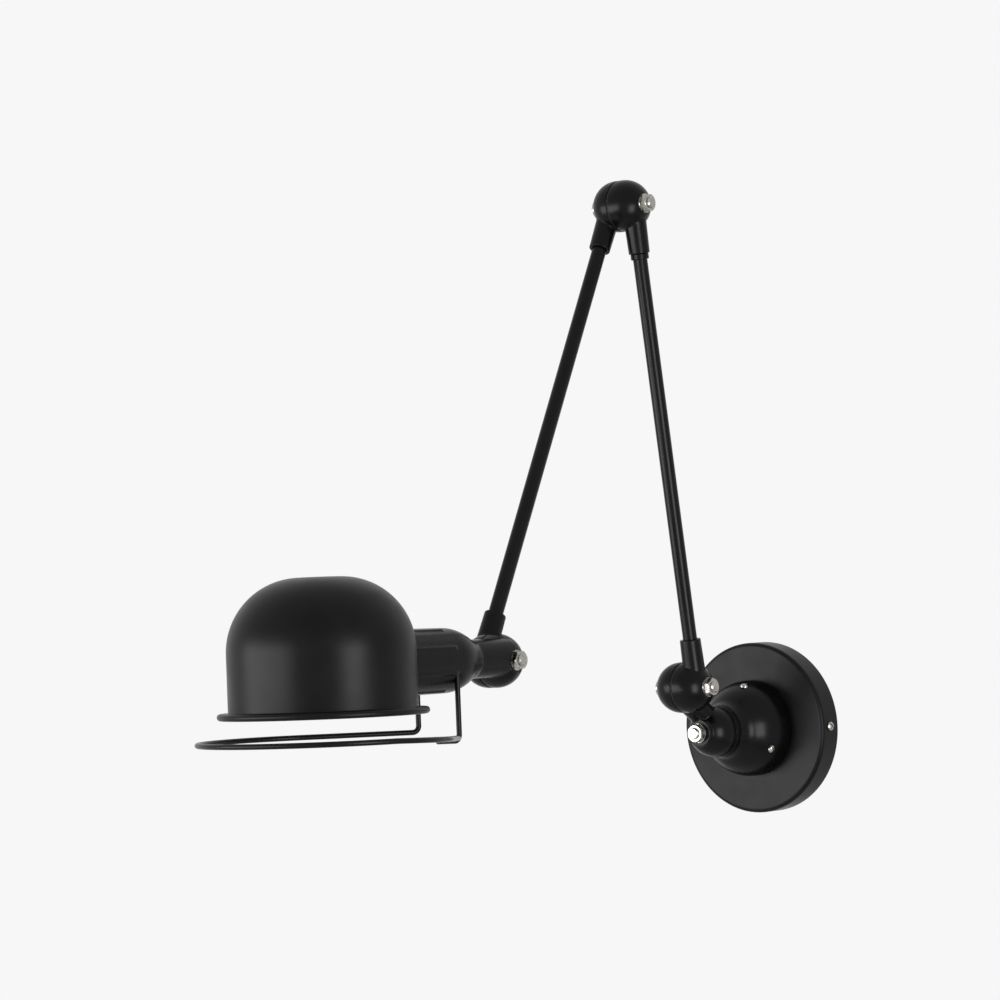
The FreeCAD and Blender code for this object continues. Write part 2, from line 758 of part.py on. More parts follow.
def handle():
    """Steel wire: two legs out of the housing and one open ring under the shade."""
    low = -handle_drop
    back = shade_reach - handle_reach
    spread = math.atan2(handle_half_w, back) + math.acos(handle_ring_r / math.hypot(handle_half_w, back))
    meet_x = handle_ring_r * math.sin(spread)
    meet_y = handle_ring_r * math.cos(spread) - shade_reach
    eased = handle_corner * (1 - math.sin(math.radians(45)))

    def side(sign):
        """Leg, corner and straight run that touches the ring, on one side."""
        leg = vec(sign * handle_half_w, -handle_reach, low)
        meet = vec(sign * meet_x, meet_y, low)
        run = meet.sub(leg)
        run.normalize()
        corner_top = leg.add(vec(0, 0, handle_corner))
        corner_end = leg.add(run * handle_corner)
        middle = leg.add(run * eased).add(vec(0, 0, eased))
        return [
            line(leg.add(vec(0, 0, handle_top - low)), corner_top),
            arc(corner_top, middle, corner_end),
            line(corner_end, meet),
        ]
    ring = arc(vec(meet_x, meet_y, low), vec(0, -shade_reach - handle_ring_r, low), vec(-meet_x, meet_y, low))
    path = Part.Wire(side(1) + [ring] + side(-1)[::-1])
    start = vec(handle_half_w, -handle_reach, handle_top)
    section = Part.Wire(Part.makeCircle(handle_wire_r, start, vec(0, 0, -1)))
    wire = path.makePipeShell([section], True, False)
    wire.translate(vec(head_x, 0, 0))
    return wire


# ---- assembly ----------------------------------------------------------------------------

def contact_pieces(name, fixed_place, turning_place):
    """The pieces of one joint's sliding contacts, by node name."""
    return {
        name + "_ring_disc": fixed_place(ring_disc()),
        name + "_contact_rings": fixed_place(contact_rings()),
        name + "_brush_disc": turning_place(brush_disc()),
        name + "_brushes": turning_place(brushes()),
    }


def fasteners(name, place, head_face, nut_face):
    """Bolt, washer, nut and seam ring of one joint, by node name."""
    return {
        name + "_bolt": place(joint_bolt(head_face, nut_face)),
        name + "_washer": place(joint_washer(nut_face)),
        name + "_nut": place(joint_nut(nut_face)),
        name + "_seam_ring": place(seam_ring()),
    }


def wall_side():
    return {
        "wall_bracket": wall_bracket(),
        "canopy": canopy(),
        "canopy_rim_screws": canopy_rim_screws(),
        "terminal_block": terminal_block(),
        "terminal_screws": terminal_screws(),
        "earth_screw": earth_screw(),
        "canopy_collar": canopy_collar(),
        "collar_screws": collar_screws(),
        "base_dome": base_dome(),
        "dome_set_screws": dome_set_screws(),
        "wall_knuckle": wall_knuckle(),
    }


def arms():
    joint = arm_joint()
    left_joint = mirrored(joint)
    upper_tube = mirrored(arm_tube(upper_centres))
    return {
        "lower_arm_bottom_joint": at_shoulder(joint),
        "lower_arm_tube": at_shoulder(arm_tube(lower_centres)),
        "lower_arm_lock_ring": at_shoulder(lock_ring(lower_centres)),
        "lower_arm_top_joint": at_elbow_lower(flipped(joint)),
        "upper_arm_top_joint": at_elbow_upper(left_joint),
        "upper_arm_tube": at_elbow_upper(upper_tube),
        "upper_arm_bottom_joint": at_tilt_upper(flipped(left_joint)),
    }


def head():
    pieces = {
        "head_housing": head_housing(),
        "shade": shade(),
        "shade_clamp_ring": shade_clamp_ring(),
        "lamp_holder": lamp_holder(),
        "holder_shell": holder_shell(),
        "bulb_cap": bulb_cap(),
        "bulb_glass": bulb_glass(),
        "handle": handle(),
    }
    return {name: at_tilt_head(shape) for name, shape in pieces.items()}


def build():
    nodes = wall_side()
    nodes.update(arms())
    nodes.update(head())
    nodes.update(contact_pieces("swivel", at_wall, at_wall))
    nodes.update(contact_pieces("shoulder", at_shoulder, at_shoulder))
    nodes.update(contact_pieces("elbow", at_elbow_upper, at_elbow_lower))
    nodes.update(contact_pieces("tilt", at_tilt_upper, at_tilt_head))
    nodes.update(fasteners("swivel", at_wall, dome_floor - seam_depth, swivel_face))
    nodes.update(fasteners("shoulder", at_shoulder, -pole_x, pole_x))
    nodes.update(fasteners("elbow", at_elbow_upper, -pole_x, pole_x))
    nodes.update(fasteners("tilt", at_tilt_upper, -pole_x, pole_x))
    return nodes


os.makedirs("parts", exist_ok=True)
for node_name, node_shape in build().items():
    node_shape.exportStep(os.path.join("parts", node_name + ".step"))
    print(node_name, len(node_shape.Solids), "solids", round(node_shape.Volume), "mm3", node_shape.isValid())
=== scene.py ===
import json
from math import acos, atan2, cos, pi, radians, sin, sqrt, tan

import bmesh
import bpy
from mathutils import Matrix, Vector


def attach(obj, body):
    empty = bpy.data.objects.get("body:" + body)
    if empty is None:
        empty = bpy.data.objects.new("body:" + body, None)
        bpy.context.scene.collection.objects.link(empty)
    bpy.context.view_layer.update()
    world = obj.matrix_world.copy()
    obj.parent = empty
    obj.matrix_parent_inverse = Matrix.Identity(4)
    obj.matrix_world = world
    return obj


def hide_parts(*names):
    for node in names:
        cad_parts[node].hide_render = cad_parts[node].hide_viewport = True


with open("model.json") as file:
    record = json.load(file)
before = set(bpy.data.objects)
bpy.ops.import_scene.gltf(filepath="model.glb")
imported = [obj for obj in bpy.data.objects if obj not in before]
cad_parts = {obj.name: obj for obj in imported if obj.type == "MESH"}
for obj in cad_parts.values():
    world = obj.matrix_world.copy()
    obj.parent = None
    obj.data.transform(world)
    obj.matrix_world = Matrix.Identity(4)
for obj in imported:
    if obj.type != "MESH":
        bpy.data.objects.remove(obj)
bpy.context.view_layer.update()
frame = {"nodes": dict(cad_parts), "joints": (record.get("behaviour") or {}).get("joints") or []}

# ---- Wall bracket --------------------------------------------------------------------
# A flat steel bar against the wall carries the lamp, and its bent ears take the canopy's
# rim screws. It is zinc-plated after pressing; the mains terminal block stands on it.

MM = 0.001
nodes = frame["nodes"]


def colour(code):
    """Linear colour of an sRGB hex code."""
    channels = [int(code[i:i + 2], 16) / 255 for i in (1, 3, 5)]
    linear = [c / 12.92 if c <= 0.04045 else ((c + 0.055) / 1.055) ** 2.4 for c in channels]
    return (*linear, 1.0)


def add(tree, kind, inputs=None, **settings):
    """Node of a kind with its settings; an input takes a value or another node's socket."""
    node = tree.nodes.new(kind)
    for key, value in settings.items():
        setattr(node, key, value)
    for key, value in (inputs or {}).items():
        if isinstance(value, bpy.types.NodeSocket):
            tree.links.new(value, node.inputs[key])
        else:
            node.inputs[key].default_value = value
    return node


def surface(name, shades, patch_mm, roughness, waves=(), **constants):
    """Material whose colour and roughness drift between two values over patches of patch_mm.

    Each wave (size_mm, depth_mm) is one scale of unevenness in the skin. The constants are
    set straight on the shader's sockets.
    """
    material = bpy.data.materials.new(name)
    material.use_nodes = True
    tree = material.node_tree
    shader = tree.nodes["Principled BSDF"]
    for key, value in constants.items():
        shader.inputs[key.replace("_", " ")].default_value = value
    place = add(tree, "ShaderNodeTexCoord").outputs["Object"]
    patch = add(tree, "ShaderNodeTexNoise", {"Vector": place, "Scale": 1 / (patch_mm * MM), "Detail": 3.0})
    drift = {"Value": patch.outputs[0], "From Min": 0.3, "From Max": 0.7}
    share = add(tree, "ShaderNodeMapRange", drift).outputs[0]
    tint = add(tree, "ShaderNodeMix", {"Factor": share, "A": colour(shades[0]), "B": colour(shades[1])},
               data_type="RGBA")
    tree.links.new(tint.outputs["Result"], shader.inputs["Base Color"])
    drift.update({"To Min": roughness[0], "To Max": roughness[1]})
    tree.links.new(add(tree, "ShaderNodeMapRange", drift).outputs[0], shader.inputs["Roughness"])
    normal = {}
    for size_mm, depth_mm in waves:
        wave = add(tree, "ShaderNodeTexNoise", {"Vector": place, "Scale": 1 / (size_mm * MM), "Detail": 1.0})
        bump = add(tree, "ShaderNodeBump", {
            "Height": wave.outputs[0], "Distance": depth_mm * MM, "Strength": 1.0, **normal})
        normal = {"Normal": bump.outputs[0]}
    if normal:
        tree.links.new(normal["Normal"], shader.inputs["Normal"])
    return material


def dress(material, *names):
    """The material for whole carried-over pieces."""
    for name in names:
        for index in range(len(nodes[name].data.materials)):
            nodes[name].data.materials[index] = material


# Zinc plate: a cold silver with the faint cloudiness that the bath leaves.
zinc_plate = surface("zinc_plated_steel", ("#9EA2A6", "#B9BCBE"), patch_mm=6, roughness=(0.30, 0.46),
                     waves=[(0.8, 0.01)], Metallic=1.0)
dress(zinc_plate, "wall_bracket", "earth_screw", "collar_screws")

# Phenolic moulding: dark brown, its gloss dulled by the mould.
phenolic = surface("brown_phenolic_moulding", ("#35241A", "#4B3325"), patch_mm=1.5, roughness=(0.35, 0.5),
                   waves=[(1.2, 0.01)], IOR=1.6)
dress(phenolic, "terminal_block")

# Turned brass: warm metal with the fine marks of the lathe.
brass = surface("turned_brass", ("#B98D3E", "#D2A85A"), patch_mm=2.5, roughness=(0.22, 0.38),
                waves=[(0.7, 0.008)], Metallic=1.0)
dress(brass, "terminal_screws")


# ---- Canopy --------------------------------------------------------------------------
# A shallow round pan spun from 1.2 mm steel sheet, its front edge rolled over a former. It
# is sprayed satin black and held by two screws through its rim.

def add_round(points):
    """Outline points (along, radius, corner) with each corner turned off to its radius, in mm."""
    done = []
    count = len(points)
    for index, (along, radius, corner) in enumerate(points):
        here = Vector((along, radius))
        if not corner:
            done.append(here)
            continue
        before = Vector(points[index - 1][:2]) - here
        after = Vector(points[(index + 1) % count][:2]) - here
        before.normalize()
        after.normalize()
        half = before.angle(after) / 2
        reach = corner / tan(half)
        centre = here + (before + after).normalized() * (corner / sin(half))
        start = here + before * reach - centre
        turn = start.angle_signed(here + after * reach - centre)
        done.append(centre + start + before * corner * 0.3)
        for step in range(7):
            spot = start.copy()
            spot.rotate(Matrix.Rotation(-turn * step / 6, 2))
            done.append(centre + spot)
        done.append(here + after * (reach + corner * 0.3))
    return done


def show(name, mesh, material, body, *replaced, edge=35):
    """Object of a finished mesh that rides on a body and stands for CAD nodes."""
    mesh.name = name
    if material:
        mesh.materials.clear()
        mesh.materials.append(material)
    mesh.shade_smooth()
    mesh.set_sharp_from_angle(angle=radians(edge))
    piece = bpy.data.objects.new(name, mesh)
    bpy.context.scene.collection.objects.link(piece)
    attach(piece, body)
    if replaced:
        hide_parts(*replaced)
    return piece


def spin(outline, place, along, segments=128):
    """Closed mesh turned about an axis from an outline of (along, radius) points in mm."""
    axis = Vector(along).normalized()
    across = axis.orthogonal().normalized()
    upward = axis.cross(across)
    shell = bmesh.new()
    rings = []
    for reach, radius in outline:
        centre = Vector(place) + axis * reach
        if radius < 1e-6:
            rings.append([shell.verts.new(centre * MM)])
            continue
        rings.append([shell.verts.new((centre + (across * cos(a) + upward * sin(a)) * radius) * MM)
                      for a in (2 * pi * step / segments for step in range(segments))])
    pairs = list(zip(rings, rings[1:]))
    if len(rings[0]) > 1:
        pairs.append((rings[-1], rings[0]))
    for low, high in pairs:
        for step in range(segments):
            following = (step + 1) % segments
            corners = [low[step % len(low)], low[following % len(low)],
                       high[following % len(high)], high[step % len(high)]]
            loop = list(dict.fromkeys(corners))
            if len(loop) > 2:
                shell.faces.new(loop)
    bmesh.ops.recalc_face_normals(shell, faces=shell.faces)
    mesh = bpy.data.meshes.new("spun")
    shell.to_mesh(mesh)
    shell.free()
    return mesh


def turned(outline, place, along, segments=128):
    """Spun mesh whose outline points carry their corner radii."""
    return spin(add_round(outline), place, along, segments)


# Sprayed paint on spun sheet: satin black with a fine orange peel, a little greyer than
# the castings, over the shallow unevenness that the spinning tool leaves.
canopy_paint = surface("satin_black_sprayed_sheet", ("#070708", "#0B0B0C"), patch_mm=14,
                       roughness=(0.34, 0.40), waves=[(0.9, 0.010), (12, 0.03)],
                       IOR=1.5, Specular_IOR_Level=0.12)

OUT = (0, -1, 0)
canopy_r = 59.8
canopy_depth = 18.4
canopy_wall = 1.2
canopy_hole_r = 15.0
canopy = turned([
    (0.0, canopy_r - canopy_wall, 0.4), (0.0, canopy_r, 0.4), (canopy_depth, canopy_r, 2.6),
    (canopy_depth, canopy_hole_r, 0.3), (canopy_depth - canopy_wall, canopy_hole_r, 0.3),
    (canopy_depth - canopy_wall, canopy_r - canopy_wall, 1.4),
], (0, 0, 0), OUT, 192)
show("canopy_pan", canopy, canopy_paint, "wall_mount", "canopy")


# ---- Canopy rim screws and dome set screws -------------------------------------------
# Two slotted round-head screws hold the canopy's rim to the bracket, and three more pass
# through the dome into its collar. They are steel, turned and nickel-plated bright.

# Nickel plate: bright warm silver, softly scratched by screwdriver and spanner.
nickel = surface("bright_nickel_plate", ("#84827D", "#B2B0AA"), patch_mm=1.2, roughness=(0.16, 0.32),
                 waves=[(0.5, 0.008)], Metallic=1.0)


def ring_of_screws():
    """Tree: slotted round heads set on a ring about the origin, each facing outwards."""
    dome_power = 2.6            # how late the head's top falls towards its edge
    dome_share = 0.62           # of the head's height, at the edge
    tree = bpy.data.node_groups.new("ring_of_screws", "GeometryNodeTree")
    for name in ("Ring Radius", "First Angle", "Angle Step", "Depth", "Head Radius", "Head Height",
                 "Slot Width", "Slot Turn"):
        tree.interface.new_socket(name=name, in_out="INPUT", socket_type="NodeSocketFloat")
    tree.interface.new_socket(name="Count", in_out="INPUT", socket_type="NodeSocketInt")
    tree.interface.new_socket(name="Finish", in_out="INPUT", socket_type="NodeSocketMaterial")
    tree.interface.new_socket(name="Geometry", in_out="OUTPUT", socket_type="NodeSocketGeometry")
    given = add(tree, "NodeGroupInput").outputs

    # A short post's top is let down from its middle to its edge, which makes a low dome.
    post = add(tree, "GeometryNodeMeshCylinder", {
        "Vertices": 40, "Side Segments": 2, "Fill Segments": 8,
        "Radius": given["Head Radius"], "Depth": given["Head Height"]})
    point = add(tree, "GeometryNodeInputPosition").outputs[0]
    level = add(tree, "ShaderNodeVectorMath", {0: point, 1: (1, 1, 0)}, operation="MULTIPLY").outputs[0]
    off_axis = add(tree, "ShaderNodeVectorMath", {0: level}, operation="LENGTH").outputs["Value"]
    share = add(tree, "ShaderNodeMath", {0: off_axis, 1: given["Head Radius"]}, operation="DIVIDE")
    curve = add(tree, "ShaderNodeMath", {0: share.outputs[0], 1: dome_power}, operation="POWER")
    fall = add(tree, "ShaderNodeMath", {0: curve.outputs[0], 1: -dome_share}, operation="MULTIPLY")
    drop = add(tree, "ShaderNodeMath", {0: fall.outputs[0], 1: given["Head Height"]}, operation="MULTIPLY")
    down = add(tree, "ShaderNodeCombineXYZ", {"Z": drop.outputs[0]})
    height = add(tree, "ShaderNodeSeparateXYZ", {0: point}).outputs["Z"]
    near_top = add(tree, "ShaderNodeMath", {0: given["Head Height"], 1: 0.4}, operation="MULTIPLY")
    on_top = add(tree, "ShaderNodeMath", {0: height, 1: near_top.outputs[0]}, operation="GREATER_THAN")
    domed = add(tree, "GeometryNodeSetPosition", {
        "Geometry": post.outputs["Mesh"], "Selection": on_top.outputs[0], "Offset": down.outputs[0]})

    # The screwdriver's slot is a bar cut out of the dome.
    slot_length = add(tree, "ShaderNodeMath", {0: given["Head Radius"], 1: 3.0}, operation="MULTIPLY")
    slot_size = add(tree, "ShaderNodeCombineXYZ", {
        "X": slot_length.outputs[0], "Y": given["Slot Width"], "Z": given["Head Height"]})
    slot_rise = add(tree, "ShaderNodeMath", {0: given["Head Height"], 1: dome_share}, operation="MULTIPLY")
    slot_place = add(tree, "ShaderNodeCombineXYZ", {"Z": slot_rise.outputs[0]})
    slot_turn = add(tree, "ShaderNodeCombineXYZ", {"Z": given["Slot Turn"]})
    bar = add(tree, "GeometryNodeMeshCube", {"Size": slot_size.outputs[0]})
    laid = add(tree, "GeometryNodeTransform", {
        "Geometry": bar.outputs[0], "Translation": slot_place.outputs[0], "Rotation": slot_turn.outputs[0]})
    head = add(tree, "GeometryNodeMeshBoolean", {"Mesh 1": domed.outputs[0], "Mesh 2": laid.outputs[0]},
               operation="DIFFERENCE")

    # One head stands on each place of the ring, its axis pointing away from the middle.
    index = add(tree, "GeometryNodeInputIndex").outputs[0]
    turn = add(tree, "ShaderNodeMath", {0: index, 1: given["Angle Step"]}, operation="MULTIPLY")
    angle = add(tree, "ShaderNodeMath", {0: turn.outputs[0], 1: given["First Angle"]}, operation="ADD")
    across = add(tree, "ShaderNodeMath", {0: angle.outputs[0]}, operation="COSINE")
    upward = add(tree, "ShaderNodeMath", {0: angle.outputs[0]}, operation="SINE")
    outward = add(tree, "ShaderNodeCombineXYZ", {"X": across.outputs[0], "Z": upward.outputs[0]}).outputs[0]
    on_ring = add(tree, "ShaderNodeVectorMath", {0: outward, "Scale": given["Ring Radius"]},
                  operation="SCALE")
    ahead = add(tree, "ShaderNodeVectorMath", {0: (0, -1, 0), "Scale": given["Depth"]}, operation="SCALE")
    place = add(tree, "ShaderNodeVectorMath", {0: on_ring.outputs[0], 1: ahead.outputs[0]})
    spots = add(tree, "GeometryNodePoints", {"Count": given["Count"], "Position": place.outputs[0]})
    facing = add(tree, "FunctionNodeAlignRotationToVector", {"Vector": outward}, axis="Z")
    placed = add(tree, "GeometryNodeInstanceOnPoints", {
        "Points": spots.outputs[0], "Instance": head.outputs[0], "Rotation": facing.outputs[0]})
    whole = add(tree, "GeometryNodeRealizeInstances", {0: placed.outputs[0]})
    dressed = add(tree, "GeometryNodeSetMaterial", {
        "Geometry": whole.outputs[0], "Material": given["Finish"]})
    add(tree, "NodeGroupOutput", {0: dressed.outputs[0]})
    return tree


def grown(tree, name, path=None, **values):
    """Plain mesh that a geometry tree makes with the given inputs, underscores for spaces."""
    carrier = bpy.data.objects.new(name, path or bpy.data.meshes.new(name))
    bpy.context.scene.collection.objects.link(carrier)
    modifier = carrier.modifiers.new("shape", "NODES")
    modifier.node_group = tree
    sockets = {item.name: item.identifier for item in tree.interface.items_tree if item.in_out == "INPUT"}
    for key, value in values.items():
        modifier[sockets[key.replace("_", " ")]] = value
    view = bpy.context.evaluated_depsgraph_get()
    mesh = bpy.data.meshes.new_from_object(carrier.evaluated_get(view))
    bpy.data.objects.remove(carrier)
    return mesh


screw_ring = ring_of_screws()
rim_screw_stand = 0.7
rim_screws = grown(screw_ring, "rim_screws", Count=2, Ring_Radius=(canopy_r + rim_screw_stand) * MM,
                   First_Angle=0.0, Angle_Step=pi, Depth=9.2 * MM, Head_Radius=3.4 * MM,
                   Head_Height=2.8 * MM, Slot_Width=0.9 * MM, Slot_Turn=0.7, Finish=nickel)
show("canopy_screws", rim_screws, nickel, "wall_mount", "canopy_rim_screws")

dome_r = 33.5
dome_band = 3.6
dome_centre = canopy_depth + dome_band
set_screw_depth = 34.5
set_screw_stand = 0.3
dome_at_screws = sqrt(dome_r ** 2 - (set_screw_depth - dome_centre) ** 2)
set_screws = grown(screw_ring, "set_screws", Count=3, Ring_Radius=(dome_at_screws + set_screw_stand) * MM,
                   First_Angle=radians(-27), Angle_Step=radians(105), Depth=set_screw_depth * MM,
                   Head_Radius=3.3 * MM, Head_Height=2.6 * MM, Slot_Width=0.9 * MM, Slot_Turn=0.9,
                   Finish=nickel)
show("set_screws", set_screws, nickel, "wall_mount", "dome_set_screws")


# ---- Base dome and its collar --------------------------------------------------------
# A half-round dome of die-cast zinc that sweeps hollow into the fixed half of the swivel.
# It is pushed over a turned collar and stove-enamelled glossier than the sheet canopy.

def arc_points(centre, radius, start, end, steps=24):
    """Points of an arc in an outline, angles in radians from the axis's direction."""
    return [(centre[0] + radius * cos(start + (end - start) * i / steps),
             centre[1] + radius * sin(start + (end - start) * i / steps)) for i in range(steps + 1)]


# Stove enamel on castings: near-black and glossy, flowing over the cast skin, so that it
# shows slow undulations about 8 mm long, a fine peel and slightly duller patches.
enamel = surface("black_stove_enamel_on_casting", ("#050505", "#080808"), patch_mm=9, roughness=(0.24, 0.31),
                 waves=[(1.1, 0.008), (8, 0.06)], IOR=1.5, Specular_IOR_Level=0.12)

seam_depth = 60.8
ball_r = 17.5
seam_half = 0.4
throat = 13.0
skirt_gap = 0.05            # under the dome's edge, over the canopy
collar_space_r = 14.5
carrier_seat_r = 14.0
carrier_seat_depth = 9
wire_duct_r = 6.0
dome_floor = canopy_depth + 22
dome_throat_centre = dome_centre + sqrt((dome_r + throat) ** 2 - (ball_r + throat) ** 2)
sweep = atan2(dome_throat_centre - dome_centre, ball_r + throat)
skirt = canopy_depth + skirt_gap
dome_outline = [(skirt, collar_space_r), (skirt, dome_r - 0.5), (canopy_depth + 0.2, dome_r - 0.15),
                (canopy_depth + 0.6, dome_r), (canopy_depth + 1.0, dome_r)]
dome_outline += arc_points((dome_centre, 0), dome_r, pi / 2, pi / 2 - sweep, 40)
dome_outline += arc_points((dome_throat_centre, ball_r + throat), throat, -pi / 2 - sweep, -pi / 2, 20)[1:]
swivel_lip = seam_depth - seam_half
seat_floor = swivel_lip - carrier_seat_depth
dome_outline += [(swivel_lip - 0.9, ball_r), (swivel_lip - 0.5, ball_r - 0.05),
                 (swivel_lip - 0.15, ball_r - 0.25), (swivel_lip, ball_r - 0.6), (swivel_lip, ball_r - 1.2),
                 (swivel_lip, carrier_seat_r), (seat_floor, carrier_seat_r), (seat_floor, wire_duct_r),
                 (dome_floor, wire_duct_r), (dome_floor, collar_space_r)]
base_dome = spin(dome_outline, (0, 0, 0), OUT, 160)
show("dome_casting", base_dome, enamel, "wall_mount", "base_dome")
dress(zinc_plate, "canopy_collar")


# ---- Wall knuckle --------------------------------------------------------------------
# One zinc casting joins the turning half of the swivel to the fixed half of the shoulder by a
# slanting neck. Its corners come soft out of the die, and enamel fills them further.

def cast_form(node, skin_mm, flow):
    """Mesh of a CAD casting with its corners softened as enamel softens them."""
    mesh = nodes[node].data.copy()
    shell = bmesh.new()
    shell.from_mesh(mesh)
    bmesh.ops.remove_doubles(shell, verts=shell.verts, dist=0.002 * MM)
    shell.to_mesh(mesh)
    shell.free()
    carrier = bpy.data.objects.new("casting", mesh)
    bpy.context.scene.collection.objects.link(carrier)
    skin = carrier.modifiers.new("skin", "REMESH")
    skin.mode = "VOXEL"
    skin.voxel_size = skin_mm * MM
    soften = carrier.modifiers.new("soften", "SMOOTH")
    soften.factor = 0.5
    soften.iterations = flow
    view = bpy.context.evaluated_depsgraph_get()
    cast = bpy.data.meshes.new_from_object(carrier.evaluated_get(view))
    bpy.data.objects.remove(carrier)
    return cast


knuckle_form = cast_form("wall_knuckle", skin_mm=0.42, flow=8)
knuckle = show("knuckle_casting", knuckle_form, enamel, "knuckle", "wall_knuckle", edge=180)


# ---- Joint bolts, nuts and washers ---------------------------------------------------
# Each ball joint is drawn together by an M8 bolt with a low slotted head, a turned washer and
# a hexagon nut, all bright nickel, with the bolt's end left just proud of the nut.

joint_place = {joint["name"]: Vector(joint["pos_m"]) / MM for joint in frame["joints"]}
dress(nickel, "swivel_bolt")
for joint in ("swivel", "shoulder", "elbow", "tilt"):
    dress(nickel, joint + "_nut", joint + "_washer")

bolt_r = 4.0
bolt_head_r = 6.8
bolt_head_h = 4.6
head_dome_h = 2.6
washer_t = 1.2
nut_h = 4.2
bolt_end = 1.6
ball_offset = 3.0           # from the seam to each half ball's own middle
seat_r = bolt_head_r + 0.4
pole_x = ball_offset + sqrt(ball_r ** 2 - seat_r ** 2)
bolt_tip = pole_x + washer_t + nut_h + bolt_end
slot_w = 1.5
slot_depth = 1.3


def bolt_form(place):
    """Bolt from its domed, slotted head at -X to its chamfered tip at +X."""
    bolt = bmesh.new()
    head = -pole_x - bolt_head_h
    outline = add_round([(head, 0, 0), (head + 0.5, bolt_r, 3.0), (head + head_dome_h, bolt_head_r, 1.2),
                         (-pole_x, bolt_head_r, 0.25), (-pole_x, bolt_r, 0), (bolt_tip - 0.9, bolt_r, 0.15),
                         (bolt_tip, bolt_r - 0.9, 0.15), (bolt_tip, 0, 0)])
    bolt.from_mesh(spin(outline, place, (1, 0, 0), 64))
    # The slot is cut by two planes beside it and its floor pushed in between them.
    for side in (-1, 1):
        rim = Vector(place) + Vector((0, 0, side * slot_w / 2))
        near = [f for f in bolt.faces if f.calc_center_median().x < (place.x - pole_x - 0.3) * MM]
        edging = dict.fromkeys(part for f in near for part in (*f.verts, *f.edges))
        bmesh.ops.bisect_plane(bolt, geom=list(edging) + near, plane_co=rim * MM, plane_no=(0, 0, 1))
    floor = [f for f in bolt.faces
             if abs(f.calc_center_median().z - place.z * MM) < slot_w / 2 * MM
             and f.calc_center_median().x < (place.x + head + slot_depth) * MM]
    sunk = bmesh.ops.extrude_face_region(bolt, geom=floor)
    level = (place.x + head + slot_depth) * MM
    for vert in [g for g in sunk["geom"] if isinstance(g, bmesh.types.BMVert)]:
        vert.co.x = level
    bmesh.ops.delete(bolt, geom=floor, context="FACES")
    bmesh.ops.recalc_face_normals(bolt, faces=bolt.faces)
    mesh = bpy.data.meshes.new("bolt")
    bolt.to_mesh(mesh)
    bolt.free()
    return mesh


for joint, body in (("shoulder", "knuckle"), ("elbow", "upper_arm"), ("head_tilt", "upper_arm")):
    node = joint.replace("head_", "") + "_bolt"
    show(node + "_form", bolt_form(joint_place[joint]), nickel, body, node)

# Pressed fibre: dull dark brown rings that give each joint its friction, and a rim of
# them shows in every seam. The contact carriers inside are phenolic, the contacts brass.
fibre = surface("pressed_fibre", ("#1C1815", "#2B2521"), patch_mm=0.8, roughness=(0.6, 0.8),
                waves=[(0.8, 0.03)], IOR=1.5)
for joint in ("swivel", "shoulder", "elbow", "tilt"):
    dress(fibre, joint + "_seam_ring")
    dress(phenolic, joint + "_ring_disc", joint + "_brush_disc")
    dress(brass, joint + "_contact_rings", joint + "_brushes")


# ---- Arms ----------------------------------------------------------------------------
# Two straight steel tubes, each held at both ends in the socket of a cast half ball. The
# castings are enamelled like the dome, and a lock ring closes the lower arm's upper socket.

arm_castings = (("lower_arm_bottom_joint", "lower_arm"), ("lower_arm_top_joint", "lower_arm"),
                ("upper_arm_top_joint", "upper_arm"), ("upper_arm_bottom_joint", "upper_arm"))
for node, body in arm_castings:
    casting_form = cast_form(node, skin_mm=0.4, flow=12)
    casting = show(node + "_casting", casting_form, enamel, body, node, edge=180)

# Enamelled tube: the same black drawn smooth along the tube, with a soft satin gloss.
tube_enamel = surface("black_enamel_on_drawn_tube", ("#050505", "#090909"), patch_mm=10,
                      roughness=(0.24, 0.31), waves=[(1.0, 0.008)], IOR=1.5, Specular_IOR_Level=0.13)

tube_r = 4.9
tube_wall = 1.2
stub_x = 9.3
stub_reach = 33.5
socket = 14.0
lock_r = 6.2
lock_l = 4.0
arm_ends = {"lower_arm": ("shoulder", "elbow", stub_x), "upper_arm": ("elbow", "head_tilt", -stub_x)}
for arm, (first, last, side) in arm_ends.items():
    start = joint_place[first] + Vector((side, 0, 0))
    along = joint_place[last] - joint_place[first]
    near = stub_reach - socket
    far = along.length - near
    tube = turned([(near, tube_r - tube_wall, 0), (near, tube_r, 0.3), (far, tube_r, 0.3),
                   (far, tube_r - tube_wall, 0)], start, along, 64)
    show(arm + "_tube_form", tube, tube_enamel, arm, arm + "_tube")
    if arm == "lower_arm":
        top = along.length - stub_reach
        lock = turned([(top - lock_l, tube_r, 0.2), (top - lock_l, lock_r, 0.7), (top, lock_r, 0.5),
                       (top, tube_r, 0.2)], start, along, 64)
        show("lock_ring_form", lock, enamel, arm, "lower_arm_lock_ring")


# ---- Head housing --------------------------------------------------------------------
# A cast half ball that widens through a soft shoulder into a barrel around the lamp holder.
# Eight low ribs run along the barrel up to the shade.

housing_form = cast_form("head_housing", skin_mm=0.6, flow=8)
housing = show("housing_casting", housing_form, enamel, "head", "head_housing", edge=180)

tilt = joint_place["head_tilt"]
head_turn = Matrix.Rotation(radians(-0.6), 4, "X")
head_x = 9.5
head_rise = 1.9
head_out = (head_turn @ Vector(OUT)).normalized()


def in_head(x, reach, rise):
    """Place in the head, in mm: across, out from the tilt axis, and up."""
    return tilt + head_turn @ Vector((x, -reach, rise))


# ---- Shade ---------------------------------------------------------------------------
# A dome spun from 1.2 mm steel with a flat crown and a rolled rim. Outside it is satin black,
# inside it is white enamel that throws the light down.

shade_r = 57.6
shade_wall = 1.2
shade_reach = 171.0
shade_top = 56.2
shade_bend = 45.0
shade_foot = -28.4
rim_r = 64.4
rim_half = 2.1

